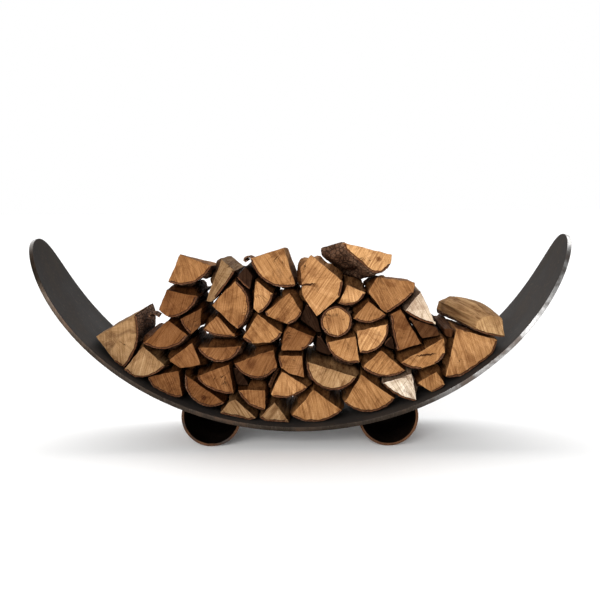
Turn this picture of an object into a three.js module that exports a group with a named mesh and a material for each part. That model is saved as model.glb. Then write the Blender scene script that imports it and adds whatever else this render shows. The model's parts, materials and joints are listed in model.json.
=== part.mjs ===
// Firewood rack: a thick steel strip rolled into a crescent, welded onto two half-pipe feet and loaded
// with split logs. Millimetres, +Z up, +X along the strip, -Y to the front. The origin lies on the floor,
// under the middle of the strip.
import * as THREE from 'three';
import { mergeVertices } from 'three/addons/utils/BufferGeometryUtils.js';

// Crescent plate
const PLATE_HALF_LENGTH = 993; // along the inner surface, from the middle to a tip
const PLATE_DEPTH = 420;
const PLATE_THICKNESS = 12;
const ROLL_RADIUS = 885; // inner surface at the middle
const TIP_TIGHTENING = 0.4; // how much stronger the curve is at the tips than at the middle
const TIP_LENGTH_POWER = 7; // higher keeps the full depth for longer before the tip rounds off
const TIP_DEPTH_POWER = 2.2; // higher makes the tip blunter
const TIP_FLAT = 16; // width of the end edge, where both rounded sides meet
const PLATE_STATIONS = 88;
const STATION_CROWDING = 1.9; // above 1 puts more stations near the rounded tips

// Feet: half lengths of pipe, cut to the plate's underside
const FOOT_PIPE_DIAMETER = 168.3;
const FOOT_PIPE_WALL = 7.1;
const FOOT_SPACING = 498;
const FOOT_LENGTH = 350;
const FOOT_ARC_STEPS = 15; // on each side of the line that the foot stands on

// Fillet welds between the feet and the plate
const WELD_LEG = 8;
const WELD_SWELL = 1.2;
const WELD_SETBACK = 4; // from each end of the foot

// Logs
const LOG_LENGTH = 330;
const LOG_STAGGER = 3; // step by which the sawn ends stand in or out
const LOG_GAP = 2.4; // between neighbouring logs, and between a log and the plate
const BARK_STEP = 11; // length of one step along a bark side

// Clearance between welded pieces
const WELD_GAP = 0.35;

const COLOURS = {
  plate: 0x35322f,
  foot: 0x5b3b2c,
  weld: 0x4a4038,
  wood: 0xb98a54,
  paleWood: 0xe3cfae,
};

const rack = new THREE.Group();
rack.name = 'firewood_log_rack';

function finish(colour, roughness, metalness) {
  return new THREE.MeshStandardMaterial({ color: colour, roughness, metalness });
}

function addPiece(parent, name, geometry, material) {
  const mesh = new THREE.Mesh(geometry, material);
  mesh.name = name;
  parent.add(mesh);
  return mesh;
}

// Extrudes an outline drawn in x and z along the depth of the rack, centred on y = 0.
function prism(outline, length) {
  const shape = new THREE.Shape(outline);
  const geometry = new THREE.ExtrudeGeometry(shape, { depth: length, bevelEnabled: false, steps: 1 });
  geometry.rotateX(Math.PI / 2);
  geometry.translate(0, length / 2, 0);
  return geometry;
}

// The side view of a rolled strip. Its curvature grows with the square of the distance from the middle, so
// the slope at a distance s is s / radius * (1 + tightening * (s / halfLength)^2 / 3).
function rolledProfile(halfLength, radius, tightening) {
  const slope = (s) => (s / radius) * (1 + (tightening * (s / halfLength) ** 2) / 3);
  const pieces = 400;
  const step = halfLength / pieces;
  const track = [new THREE.Vector2(0, 0)];
  for (let i = 0; i < pieces; i += 1) {
    const angle = slope((i + 0.5) * step);
    const last = track[i];
    track.push(new THREE.Vector2(last.x + step * Math.cos(angle), last.y + step * Math.sin(angle)));
  }

  function pointAt(s) {
    const place = Math.min(Math.abs(s) / step, pieces - 1e-9);
    const index = Math.floor(place);
    const point = track[index].clone().lerp(track[index + 1], place - index);
    return new THREE.Vector2(Math.sign(s) * point.x, point.y);
  }

  // A point at a distance below the inner surface, measured square to the strip.
  function pointBelow(s, distance) {
    const angle = slope(s);
    const point = pointAt(s);
    return new THREE.Vector2(point.x + distance * Math.sin(angle), point.y - distance * Math.cos(angle));
  }

  // Height over the middle of the surface that lies at that distance below the inner one.
  function heightAt(x, distance = 0) {
    let low = 0;
    let high = halfLength;
    for (let i = 0; i < 40; i += 1) {
      const middle = (low + high) / 2;
      if (pointBelow(middle, distance).x < Math.abs(x)) {
        low = middle;
      } else {
        high = middle;
      }
    }
    return pointBelow(low, distance).y;
  }

  return { halfLength, halfSpan: track[pieces].x, pointBelow, heightAt };
}

const strip = rolledProfile(PLATE_HALF_LENGTH, ROLL_RADIUS, TIP_TIGHTENING);
const footRadius = FOOT_PIPE_DIAMETER / 2;
const footX = FOOT_SPACING / 2;

// Each pipe was cut through its own axis, so the axis lies on the plate's underside and the pipe's radius
// sets how high the plate stands.
const plateBase = footRadius - strip.heightAt(footX, PLATE_THICKNESS);

function makePlate() {
  const halfDepth = PLATE_DEPTH / 2;
  const geometry = new THREE.BoxGeometry(2, 2, 2, PLATE_STATIONS, 1, 1);
  const position = geometry.attributes.position;
  for (let i = 0; i < position.count; i += 1) {
    const along = position.getX(i);
    const share = Math.sign(along) * (1 - (1 - Math.abs(along)) ** STATION_CROWDING);
    const fullness = 1 - Math.abs(share) ** TIP_LENGTH_POWER;
    const reach = Math.max(halfDepth * fullness ** (1 / TIP_DEPTH_POWER), TIP_FLAT / 2);
    const below = position.getZ(i) > 0 ? 0 : PLATE_THICKNESS;
    const point = strip.pointBelow(share * PLATE_HALF_LENGTH, below);
    position.setXYZ(i, point.x, position.getY(i) * reach, point.y + plateBase);
  }
  geometry.deleteAttribute('normal');
  geometry.deleteAttribute('uv');
  return mergeVertices(geometry);
}

addPiece(rack, 'crescent_plate', makePlate(), finish(COLOURS.plate, 0.55, 0.8));

// A point on a circle round a foot's axis. The turn is 0 straight down and grows towards +X.
function aroundFoot(centreX, radius, turn) {
  return new THREE.Vector2(centreX + radius * Math.sin(turn), footRadius - radius * Math.cos(turn));
}

// The turn at which that circle comes within the weld gap of the plate's underside, on one side.
function turnAtPlate(centreX, radius, side) {
  let low = 0;
  let high = Math.PI * 0.75;
  for (let i = 0; i < 40; i += 1) {
    const middle = (low + high) / 2;
    const point = aroundFoot(centreX, radius, side * middle);
    if (point.y < plateBase + strip.heightAt(point.x, PLATE_THICKNESS + WELD_GAP)) {
      low = middle;
    } else {
      high = middle;
    }
  }
  return side * low;
}

function footArc(centreX, radius) {
  const from = turnAtPlate(centreX, radius, -1);
  const to = turnAtPlate(centreX, radius, 1);
  const points = [];
  for (let i = -FOOT_ARC_STEPS; i <= FOOT_ARC_STEPS; i += 1) {
    const share = Math.abs(i) / FOOT_ARC_STEPS;
    points.push(aroundFoot(centreX, radius, share * (i < 0 ? from : to)));
  }
  return points;
}

function makeFoot(centreX) {
  const outer = footArc(centreX, footRadius);
  const inner = footArc(centreX, footRadius - FOOT_PIPE_WALL);
  return prism([...outer, ...inner.reverse()], FOOT_LENGTH);
}

function makeWeld(centreX, side) {
  const root = footRadius + WELD_GAP;
  const toe = footRadius + WELD_LEG;
  const atPipe = turnAtPlate(centreX, root, side);
  const corner = aroundFoot(centreX, root, atPipe);
  const onPlate = aroundFoot(centreX, toe, turnAtPlate(centreX, toe, side));
  const onPipe = aroundFoot(centreX, root, atPipe - (side * WELD_LEG) / root);
  const face = onPlate.clone().add(onPipe).multiplyScalar(0.5);
  const outwards = face.clone().sub(corner).normalize();
  face.addScaledVector(outwards, WELD_SWELL);
  return prism([corner, onPlate, face, onPipe], FOOT_LENGTH - 2 * WELD_SETBACK);
}

const footFinish = [COLOURS.foot, 0.85, 0.3];
const weldFinish = [COLOURS.weld, 0.6, 0.6];
for (const [name, centreX] of [['left', -footX], ['right', footX]]) {
  addPiece(rack, `${name}_foot`, makeFoot(centreX), finish(...footFinish));
  for (const [place, side] of [['outer', Math.sign(centreX)], ['inner', -Math.sign(centreX)]]) {
    addPiece(rack, `${name}_foot_${place}_weld`, makeWeld(centreX, side), finish(...weldFinish));
  }
}

// The stack, from the plate upwards. A log's row holds the corners of its split sides, as x and height above
// the floor on the sawn end, in order from one edge of the bark to the other. swell is how far the bark side
// stands out from the line that closes the outline, and crown is the same for the side opposite. recess sets
// a filling piece's sawn end back from the others. skew turns a log's back end towards -X, and slope lowers it
// (or raises it, where it is negative), both in degrees.
const STACK = [
  { corners: [[-505, 215], [-575, 312], [-460, 375]], swell: 26 },
  { corners: [[-375, 230], [-440, 290], [-505, 212]], swell: 24 },
  { corners: [[-430, 200], [-340, 215], [-330, 140]], swell: 24 },
  { corners: [[-210, 122], [-322, 204]], swell: 48 },
  { corners: [[-120, 80], [-185, 140], [-226, 95]], swell: 14 },
  { corners: [[-25, 60], [-70, 125], [-116, 80]], swell: 10 },
  { corners: [[120, 98], [40, 160], [-25, 85]], swell: 26 },
  { corners: [[270, 130], [175, 200], [124, 120]], swell: 34 },
  { corners: [[330, 125], [315, 205], [233, 177]], swell: 12, pale: true },
  { corners: [[375, 145], [330, 175], [385, 210], [410, 170]], swell: 4 },
  { corners: [[410, 190], [440, 330], [557, 295]], swell: 35 },
  { corners: [[-290, 200], [-195, 235], [-185, 150]], swell: 16 },
  { corners: [[-175, 160], [-95, 160], [-95, 100]], swell: 16 },
  { corners: [[25, 165], [-50, 215], [-85, 140]], swell: 16 },
  { corners: [[-270, 210], [-300, 295], [-370, 245]], swell: 18 },
  { corners: [[-310, 315], [-365, 360], [-440, 295]], swell: 28 },
  { corners: [[-185, 235], [-70, 275], [-60, 220]], swell: 36 },
  { corners: [[-60, 255], [10, 255], [15, 190], [-48, 210]], swell: 3 },
  { corners: [[162, 196], [20, 242]], swell: 60 },
  { corners: [[-160, 285], [-285, 280]], swell: 44 },
  { corners: [[-45, 320], [-115, 375], [-160, 305]], swell: 28 },
  { corners: [[-175, 310], [-230, 370], [-272, 330]], swell: 10 },
  { corners: [[10, 270], [-50, 270], [-40, 345], [45, 310]], swell: 4 },
  { corners: [[75, 295], [160, 310], [170, 235]], swell: 24 },
  { corners: [[300, 210], [230, 270], [175, 220]], swell: 22 },
  { corners: [[280, 235], [405, 305], [410, 260]], swell: 30 },
  { corners: [[170, 262], [160, 325], [250, 345]], swell: 30 },
  { corners: [[149, 350], [61, 350]], swell: 44, crown: 44 },
  { corners: [[255, 370], [285, 385], [345, 285], [275, 265]], swell: 2 },
  { corners: [[385, 340], [340, 435], [295, 380]], swell: 8, pale: true },
  { corners: [[-280, 425], [-370, 445], [-400, 370]], swell: 28 },
  { corners: [[-335, 360], [-270, 395], [-275, 340], [-305, 315]], swell: 2 },
  { corners: [[-170, 330], [-245, 400], [-175, 470]], swell: 36 },
  { corners: [[10, 380], [-25, 435], [-95, 380]], swell: 38 },
  { corners: [[-110, 375], [-130, 380], [-120, 470], [-70, 430]], swell: 8 },
  { corners: [[190, 430], [135, 455], [110, 400]], swell: 18 },
  { corners: [[245, 370], [195, 410], [150, 360]], swell: 18 },
  { corners: [[55, 355], [10, 425], [5, 505], [35, 540], [125, 465]], swell: 18 },
  { corners: [[390, 330], [432, 326], [428, 300], [410, 308]], swell: 2 },
  { corners: [[-172, 478], [-146, 508], [-126, 482], [-134, 440]], swell: 2 },
  { corners: [[-240, 510], [-330, 545], [-365, 465]], swell: 26 },
  { corners: [[-240, 405], [-260, 410], [-215, 530], [-175, 495]], swell: 1 },
  { corners: [[-5, 450], [-40, 560], [-135, 530]], swell: 34 },
  { corners: [[240, 370], [195, 430], [200, 480], [325, 460], [320, 430]], swell: 4 },
  { corners: [[18, 402], [2, 352], [48, 314], [66, 314], [54, 350]], swell: 4, recess: 45 },
  { corners: [[48, 304], [46, 262], [84, 246], [98, 256], [76, 292]], swell: 4, recess: 45 },
  { corners: [[302, 368], [345, 298], [396, 308], [382, 338]], swell: 4, recess: 24 },
  { corners: [[238, 276], [272, 262], [264, 306]], swell: 4, recess: 40 },
  { corners: [[-192, 218], [-180, 166], [-146, 164], [-164, 206]], swell: 3, recess: 40 },
  { corners: [[-62, 216], [-46, 206], [-76, 148], [-92, 160]], swell: 3, recess: 40 },
  { corners: [[204, 486], [243, 486], [259, 511], [264, 538], [118, 574]], swell: 13, skew: 10.5, slope: 6 },
  { corners: [[486, 330], [492, 356], [530, 370], [566, 360], [575, 304]], swell: 6, skew: 13.5, slope: -4 },
];

// The strip that the rows above were drawn on. A strip of another size carries the same stack, spread with
// its span and seated on its own curve.
const drawnStrip = rolledProfile(993, 885, 0.4);
const DRAWN_BASE = 61;
const stretch = strip.halfSpan / drawnStrip.halfSpan;

function seat([x, height]) {
  const above = height - DRAWN_BASE - drawnStrip.heightAt(x);
  return new THREE.Vector2(x * stretch, plateBase + strip.heightAt(x * stretch) + above);
}

// Points of a circular arc from one point to another that stands out to the right of the way between them.
function arcBetween(from, to, swell) {
  const chord = to.clone().sub(from);
  const half = chord.length() / 2;
  const radius = (half * half + swell * swell) / (2 * swell);
  const out = new THREE.Vector2(chord.y, -chord.x).normalize();
  const centre = from.clone().add(to).multiplyScalar(0.5).addScaledVector(out, swell - radius);
  const start = Math.atan2(from.y - centre.y, from.x - centre.x);
  const sweep = 4 * Math.atan2(swell, half);
  const steps = Math.max(1, Math.round((sweep * radius) / BARK_STEP));
  const points = [];
  for (let i = 1; i < steps; i += 1) {
    const angle = start + (sweep * i) / steps;
    points.push(new THREE.Vector2(radius * Math.cos(angle), radius * Math.sin(angle)).add(centre));
  }
  return points;
}

// A log's outline, with its corners turned to run anticlockwise.
function logOutline({ corners, swell, crown }) {
  const seated = corners.map(seat);
  if (corners.length > 2 && THREE.ShapeUtils.area(seated) < 0) {
    seated.reverse();
  }
  const first = seated[0];
  const last = seated[seated.length - 1];
  const opposite = crown ? arcBetween(first, last, crown) : [];
  const between = corners.length > 2 ? seated.slice(1, -1) : opposite;
  return [first, ...between, last, ...arcBetween(last, first, swell)];
}

// What is left of a convex outline on the side of a line that its normal points to.
function keepBeyond(outline, point, normal) {
  const kept = [];
  for (let i = 0; i < outline.length; i += 1) {
    const here = outline[i];
    const next = outline[(i + 1) % outline.length];
    const hereOver = here.clone().sub(point).dot(normal);
    const nextOver = next.clone().sub(point).dot(normal);
    if (hereOver >= 0) {
      kept.push(here);
    }
    if (hereOver >= 0 !== nextOver >= 0) {
      kept.push(here.clone().lerp(next, hereOver / (hereOver - nextOver)));
    }
  }
  return kept;
}

// The split face that two logs share: the side of the lower log that the other one reaches past the least.
function shareSide(outline, lower) {
  let best = null;
  for (let i = 0; i < lower.length; i += 1) {
    const here = lower[i];
    const next = lower[(i + 1) % lower.length];
    const normal = new THREE.Vector2(next.y - here.y, here.x - next.x).normalize();
    const face = here.clone().addScaledVector(normal, LOG_GAP);
    const depth = Math.max(...outline.map((point) => face.clone().sub(point).dot(normal)));
    if (!best || depth < best.depth) {
      best = { face, normal, depth };
    }
  }
  return best.depth > 0 ? keepBeyond(outline, best.face, best.normal) : outline;
}

// Keeps an outline the log gap above the plate's inner surface.
function aboveStrip(outline) {
  let kept = outline;
  const stations = 60;
  for (let i = -stations; i <= stations; i += 1) {
    const s = (i / stations) * PLATE_HALF_LENGTH * 0.9;
    const surface = strip.pointBelow(s, 0);
    const normal = surface.clone().sub(strip.pointBelow(s, 1));
    const limit = new THREE.Vector2(surface.x, surface.y + plateBase).addScaledVector(normal, LOG_GAP);
    kept = keepBeyond(kept, limit, normal);
  }
  return kept;
}

// The outline that a convex outline sweeps over as it moves by drift.
function swept(outline, drift) {
  const count = outline.length;
  const leads = outline.map((here, i) => {
    const next = outline[(i + 1) % count];
    return (next.y - here.y) * drift.x - (next.x - here.x) * drift.y > 0;
  });
  const points = [];
  outline.forEach((here, i) => {
    const there = here.clone().add(drift);
    const ledBefore = leads[(i + count - 1) % count];
    if (ledBefore !== leads[i]) {
      points.push(ledBefore ? there : here);
    }
    points.push(leads[i] ? there : here);
  });
  return points;
}

const placed = [];
STACK.forEach((row, index) => {
  // A turned log's back end lies further towards -X, and a sloping one's lies lower, so along its length it
  // meets its neighbours as if they moved towards +X and upwards.
  const skew = THREE.MathUtils.degToRad(row.skew ?? 0);
  const slope = THREE.MathUtils.degToRad(row.slope ?? 0);
  const drift = new THREE.Vector2(Math.tan(skew), Math.tan(slope)).multiplyScalar(LOG_LENGTH);
  let outline = aboveStrip(logOutline(row));
  for (const lower of placed) {
    outline = shareSide(outline, swept(lower, drift));
  }
  placed.push(outline);

  const recess = row.recess ?? 0;
  const length = LOG_LENGTH + ((index * 3) % 5 - 2) * LOG_STAGGER - recess;
  const forward = ((index * 5) % 7 - 3) * LOG_STAGGER - recess / 2;
  const turned = new THREE.Group();
  const front = new THREE.Vector3(outline[0].x, -LOG_LENGTH / 2, outline[0].y);
  turned.position.copy(front);
  turned.rotation.set(-slope, 0, skew);
  rack.add(turned);
  const name = `log_${String(index + 1).padStart(2, '0')}`;
  const colour = row.pale ? COLOURS.paleWood : COLOURS.wood;
  const log = addPiece(turned, name, prism(outline, length), finish(colour, 0.85, 0));
  log.position.set(-front.x, -front.y - forward, -front.z);
});

export default rack;
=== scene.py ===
"""Looks of the firewood rack: rolled steel plate, rusted half-pipe feet, welds and split logs.

Metres, +Z up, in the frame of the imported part. The pieces are built from the CAD nodes' own corners.
The tables of the wood's tones, knots, cracks, curls, tapers and humps follow what each log looks like.
"""

import json
import math
import random

import bmesh
import bpy
import numpy as np
from mathutils import Matrix, Vector, noise


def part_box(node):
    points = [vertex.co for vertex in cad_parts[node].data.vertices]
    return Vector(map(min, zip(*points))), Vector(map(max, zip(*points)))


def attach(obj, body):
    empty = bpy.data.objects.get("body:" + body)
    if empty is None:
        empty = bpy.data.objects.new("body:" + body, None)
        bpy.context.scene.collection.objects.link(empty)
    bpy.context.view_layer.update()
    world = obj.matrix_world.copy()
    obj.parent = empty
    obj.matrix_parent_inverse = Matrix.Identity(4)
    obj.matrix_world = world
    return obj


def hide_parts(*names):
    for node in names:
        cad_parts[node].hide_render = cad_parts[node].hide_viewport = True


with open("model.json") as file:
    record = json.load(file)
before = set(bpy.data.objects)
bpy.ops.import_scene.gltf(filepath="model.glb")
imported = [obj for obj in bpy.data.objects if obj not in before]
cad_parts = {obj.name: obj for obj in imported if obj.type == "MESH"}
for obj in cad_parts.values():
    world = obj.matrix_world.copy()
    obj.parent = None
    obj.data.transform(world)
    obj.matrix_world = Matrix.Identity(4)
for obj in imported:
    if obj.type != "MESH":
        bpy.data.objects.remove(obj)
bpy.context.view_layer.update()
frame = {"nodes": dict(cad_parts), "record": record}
MM = 0.001


# ---------------------------------------------------------------- camera, floor and light

CAMERA_DISTANCE = 3.216
CAMERA_HEIGHT = 0.72
CAMERA_ASIDE = 0.082  # to the right of the rack's middle
CAMERA_TILT = 5.76  # degrees below the horizon
CAMERA_TURN = 1.46  # degrees towards the left
CAMERA_ROLL = -0.59
CAMERA_LENS = 66
SKY_LIGHT = 0.3


def make_camera():
    data = bpy.data.cameras.new("camera")
    data.lens = CAMERA_LENS
    data.sensor_width = 36
    camera = bpy.data.objects.new("camera", data)
    bpy.context.collection.objects.link(camera)
    turn = Matrix.Rotation(math.radians(CAMERA_TURN), 4, "Z")
    tilt = Matrix.Rotation(math.radians(90 - CAMERA_TILT), 4, "X")
    roll = Matrix.Rotation(math.radians(CAMERA_ROLL), 4, "Z")
    place = Matrix.Translation((CAMERA_ASIDE, -CAMERA_DISTANCE, CAMERA_HEIGHT))
    camera.matrix_world = place @ turn @ tilt @ roll
    bpy.context.scene.camera = camera


def add_area(name, place, aim, size, power, colour=(1, 1, 1)):
    data = bpy.data.lights.new(name, "AREA")
    data.shape = "RECTANGLE"
    data.size, data.size_y = size
    data.energy = power
    data.color = colour
    lamp = bpy.data.objects.new(name, data)
    lamp.location = place
    lamp.rotation_euler = (Vector(aim) - Vector(place)).to_track_quat("-Z", "Y").to_euler()
    bpy.context.collection.objects.link(lamp)


def add_sun(name, way, energy, softness):
    data = bpy.data.lights.new(name, "SUN")
    data.energy = energy
    data.angle = math.radians(softness)
    lamp = bpy.data.objects.new(name, data)
    lamp.rotation_euler = Vector(way).to_track_quat("-Z", "Y").to_euler()
    bpy.context.collection.objects.link(lamp)


def make_world():
    """White behind the rack, and a dimmer grey for what the sky lights, so that gaps stay dark."""
    world = bpy.data.worlds.new("studio")
    world.use_nodes = True
    tree = world.node_tree
    background = tree.nodes["Background"]
    background.inputs["Color"].default_value = (1, 1, 1, 1)
    seen = tree.nodes.new("ShaderNodeLightPath")
    strength = tree.nodes.new("ShaderNodeMapRange")
    strength.inputs["To Min"].default_value = SKY_LIGHT
    strength.inputs["To Max"].default_value = 1.0
    tree.links.new(seen.outputs["Is Camera Ray"], strength.inputs["Value"])
    tree.links.new(strength.outputs[0], background.inputs["Strength"])
    bpy.context.scene.world = world


def make_light():
    make_world()
    add_sun("overhead", (0.02, -0.68, -0.73), 2.9, 80)
    add_sun("front", (0.20, 0.93, -0.30), 2.15, 30)
    add_area("right_strip", (1.5, -3.1, 0.45), (0.6, 0, 0.4), (0.8, 1.3), 13)
    add_area("left_soft", (-2.4, -2.6, 1.1), (0, 0, 0.3), (1.4, 1.4), 36, (1.0, 0.97, 0.93))
    bpy.context.scene.view_settings.view_transform = "Standard"
    bpy.context.scene.view_settings.look = "None"


def make_floor():
    half = 30.0
    data = bpy.data.meshes.new("studio_floor")
    corners = [(-half, -half, 0), (half, -half, 0), (half, half, 0), (-half, half, 0)]
    data.from_pydata(corners, [], [(0, 1, 2, 3)])
    floor = bpy.data.objects.new("studio_floor", data)
    material = bpy.data.materials.new("studio_floor")
    material.use_nodes = True
    shader = material.node_tree.nodes["Principled BSDF"]
    shader.inputs["Base Color"].default_value = (0.95, 0.95, 0.95, 1)
    shader.inputs["Roughness"].default_value = 0.9
    shader.inputs["Specular IOR Level"].default_value = 0.1
    shader.inputs["Emission Color"].default_value = (1, 1, 1, 1)
    shader.inputs["Emission Strength"].default_value = 0.06
    data.materials.append(material)
    bpy.context.collection.objects.link(floor)


# ---------------------------------------------------------------- material tools


class Nodes:
    """A material's node tree, with short calls for the nodes that the materials below use."""

    def __init__(self, name):
        self.material = bpy.data.materials.new(name)
        self.material.use_nodes = True
        self.tree = self.material.node_tree
        self.shader = self.tree.nodes["Principled BSDF"]

    def add(self, kind, settings=None, **inputs):
        node = self.tree.nodes.new(kind)
        for key, value in (settings or {}).items():
            setattr(node, key, value)
        for key, value in inputs.items():
            self.feed(node.inputs[key.replace("_", " ")], value)
        return node

    def feed(self, socket, value):
        if isinstance(value, bpy.types.NodeSocket):
            self.tree.links.new(value, socket)
        else:
            socket.default_value = value

    def attribute(self, name):
        return self.add("ShaderNodeAttribute", {"attribute_name": name})

    def split(self, vector):
        return self.add("ShaderNodeSeparateXYZ", Vector=vector).outputs

    def join(self, x, y, z):
        return self.add("ShaderNodeCombineXYZ", X=x, Y=y, Z=z).outputs[0]

    def math(self, operation, a, b=0.0, c=0.0, clamp=False):
        node = self.add("ShaderNodeMath", {"operation": operation, "use_clamp": clamp})
        for socket, value in zip(node.inputs, (a, b, c)):
            self.feed(socket, value)
        return node.outputs[0]

    def stretch(self, vector, scale):
        node = self.add("ShaderNodeVectorMath", {"operation": "MULTIPLY"})
        self.feed(node.inputs[0], vector)
        self.feed(node.inputs[1], scale)
        return node.outputs[0]

    def shift(self, vector, offset):
        node = self.add("ShaderNodeVectorMath", {"operation": "ADD"})
        self.feed(node.inputs[0], vector)
        self.feed(node.inputs[1], offset)
        return node.outputs[0]

    def noise(self, vector, scale, detail=3.0, roughness=0.55, distortion=0.0):
        node = self.add("ShaderNodeTexNoise", Vector=vector, Scale=scale, Detail=detail,
                        Roughness=roughness, Distortion=distortion)
        return node.outputs[0]

    def cells(self, vector, scale, feature="F1"):
        node = self.add("ShaderNodeTexVoronoi", {"feature": feature}, Vector=vector, Scale=scale)
        return node.outputs["Distance"]

    def between(self, value, low, high, to_low=0.0, to_high=1.0):
        node = self.add("ShaderNodeMapRange", {"interpolation_type": "SMOOTHSTEP"})
        for key, number in zip(("Value", "From Min", "From Max", "To Min", "To Max"),
                               (value, low, high, to_low, to_high)):
            self.feed(node.inputs[key], number)
        return node.outputs[0]

    def ramp(self, value, stops):
        node = self.add("ShaderNodeValToRGB", Fac=value)
        points = node.color_ramp.elements
        while len(points) < len(stops):
            points.new(0.5)
        for point, (at, colour) in zip(points, stops):
            point.position = at
            point.color = (*colour, 1)
        return node.outputs[0]

    def mix(self, share, a, b, blend="MIX"):
        node = self.add("ShaderNodeMix", {"data_type": "RGBA", "blend_type": blend})
        self.feed(node.inputs[0], share)
        self.feed(node.inputs[6], a if not isinstance(a, tuple) else (*a, 1))
        self.feed(node.inputs[7], b if not isinstance(b, tuple) else (*b, 1))
        return node.outputs[2]

    def bump(self, height, strength, distance):
        node = self.add("ShaderNodeBump", Strength=strength, Distance=distance, Height=height)
        return node.outputs[0]

    def set(self, **inputs):
        for key, value in inputs.items():
            self.feed(self.shader.inputs[key.replace("_", " ")], value)
        return self.material


# ---------------------------------------------------------------- steel


def object_place(nodes):
    return nodes.add("ShaderNodeTexCoord").outputs["Object"]


def plate_material():
    """Hot-rolled plate, blackened: dark grey scale with a brown cast in clouds and a few scuffs."""
    nodes = Nodes("blackened_plate")
    place = object_place(nodes)
    clouds = nodes.noise(place, 5.0, 5.0, 0.6)
    flecks = nodes.noise(place, 90.0, 3.0, 0.6)
    scale = nodes.ramp(clouds, [(0.3, (0.027, 0.024, 0.023)), (0.52, (0.035, 0.031, 0.029)),
                                (0.7, (0.048, 0.040, 0.034))])
    warm = nodes.between(flecks, 0.54, 0.74)
    colour = nodes.mix(nodes.math("MULTIPLY", warm, 0.5), scale, (0.078, 0.056, 0.040))
    streaks = nodes.noise(nodes.stretch(place, (3.0, 60.0, 3.0)), 3.0, 4.0, 0.7)
    scuff = nodes.between(streaks, 0.64, 0.8)
    colour = nodes.mix(nodes.math("MULTIPLY", scuff, 0.4), colour, (0.10, 0.095, 0.09))
    rough = nodes.between(clouds, 0.3, 0.7, 0.48, 0.64)
    height = nodes.math("ADD", nodes.math("MULTIPLY", flecks, 0.4), clouds)
    return nodes.set(Base_Color=colour, Roughness=rough, Specular_IOR_Level=0.01,
                     Normal=nodes.bump(height, 0.25, 0.002))


def cut_edge_material():
    """The plate's flame-cut edge: shinier than the faces, with fine drag lines across it. Towards the
    right-hand tip it is painted a bright steel grey in patches, partly bare steel and partly a painted
    highlight.
    """
    nodes = Nodes("cut_plate_edge")
    place = object_place(nodes)
    lines = nodes.noise(nodes.stretch(place, (420.0, 6.0, 60.0)), 1.0, 3.0, 0.7)
    patches = nodes.noise(place, 16.0, 4.0, 0.6)
    colour = nodes.ramp(lines, [(0.3, (0.015, 0.010, 0.007)), (0.55, (0.028, 0.020, 0.014)),
                                (0.8, (0.070, 0.054, 0.042))])
    # Painted highlight, partly bare steel: the edge turns bright steel grey towards the right-hand tip, where
    # it catches the light.
    right_highlight_share = nodes.between(nodes.split(place)[0], 0.30, 0.62)
    highlight_silver = nodes.mix(lines, (0.20, 0.195, 0.19), (0.62, 0.61, 0.60))
    bare = nodes.math("MULTIPLY", right_highlight_share, nodes.between(patches, 0.62, 0.45, 0.35, 1.0))
    colour = nodes.mix(bare, colour, highlight_silver)
    rusty = nodes.between(patches, 0.5, 0.7)
    colour = nodes.mix(nodes.math("MULTIPLY", rusty, 0.5), colour, (0.075, 0.042, 0.025))
    return nodes.set(Base_Color=colour, Roughness=nodes.between(patches, 0.3, 0.7, 0.24, 0.42),
                     Metallic=0.85, Normal=nodes.bump(lines, 0.35, 0.0006))


def rust_material(name, light, inside):
    """Old pipe: layered red-brown rust, darker and smoother inside, where the near-black colour is painted
    shade.
    """
    nodes = Nodes(name)
    place = object_place(nodes)
    large = nodes.noise(place, 9.0, 5.0, 0.62, 0.4)
    small = nodes.noise(place, 70.0, 5.0, 0.7)
    pits = nodes.cells(place, 160.0)
    dark = tuple(channel * 0.35 for channel in light)
    bright = tuple(min(1.0, channel * 1.9) for channel in light)
    both = nodes.math("ADD", nodes.math("MULTIPLY", large, 0.65), nodes.math("MULTIPLY", small, 0.35))
    colour = nodes.ramp(both, [(0.34, dark), (0.5, light), (0.66, bright)])
    steel = nodes.between(large, 0.36, 0.46, 1.0, 0.0)
    # Inside the pipe the bare steel is near black as well: painted shade.
    bare = (0.05, 0.045, 0.042) if not inside else (0.004, 0.0035, 0.003)
    colour = nodes.mix(nodes.math("MULTIPLY", steel, 0.75), colour, bare)
    height = nodes.math("ADD", nodes.math("MULTIPLY", small, 1.0), nodes.math("MULTIPLY", pits, 0.5))
    return nodes.set(Base_Color=colour, Roughness=nodes.between(both, 0.35, 0.65, 0.62, 0.92),
                     Metallic=nodes.math("MULTIPLY", steel, 0.0 if inside else 0.5),
                     Specular_IOR_Level=0.0 if inside else 0.12,
                     Normal=nodes.bump(height, 0.6, 0.0012))


def weld_material():
    nodes = Nodes("weld_bead")
    place = object_place(nodes)
    tint = nodes.noise(place, 60.0, 4.0, 0.6)
    fine = nodes.noise(place, 400.0, 2.0, 0.6)
    colour = nodes.ramp(tint, [(0.32, (0.05, 0.042, 0.038)), (0.52, (0.12, 0.10, 0.088)),
                               (0.7, (0.16, 0.10, 0.065))])
    return nodes.set(Base_Color=colour, Roughness=nodes.between(tint, 0.3, 0.7, 0.38, 0.65),
                     Metallic=0.75, Normal=nodes.bump(fine, 0.3, 0.0004))


def copy_node(name, piece_name):
    """A closed copy of a CAD node's mesh, with its doubled corners merged and its faces turned outwards."""
    data = frame["nodes"][name].data.copy()
    data.name = piece_name
    data.materials.clear()
    shape = bmesh.new()
    shape.from_mesh(data)
    bmesh.ops.remove_doubles(shape, verts=shape.verts, dist=0.00002)
    bmesh.ops.recalc_face_normals(shape, faces=shape.faces)
    return shape, data


def finish_mesh(shape, data, piece_name, sharp):
    shape.to_mesh(data)
    shape.free()
    for polygon in data.polygons:
        polygon.use_smooth = True
    data.set_sharp_from_angle(angle=math.radians(sharp))
    piece = bpy.data.objects.new(piece_name, data)
    bpy.context.collection.objects.link(piece)
    return piece


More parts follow.
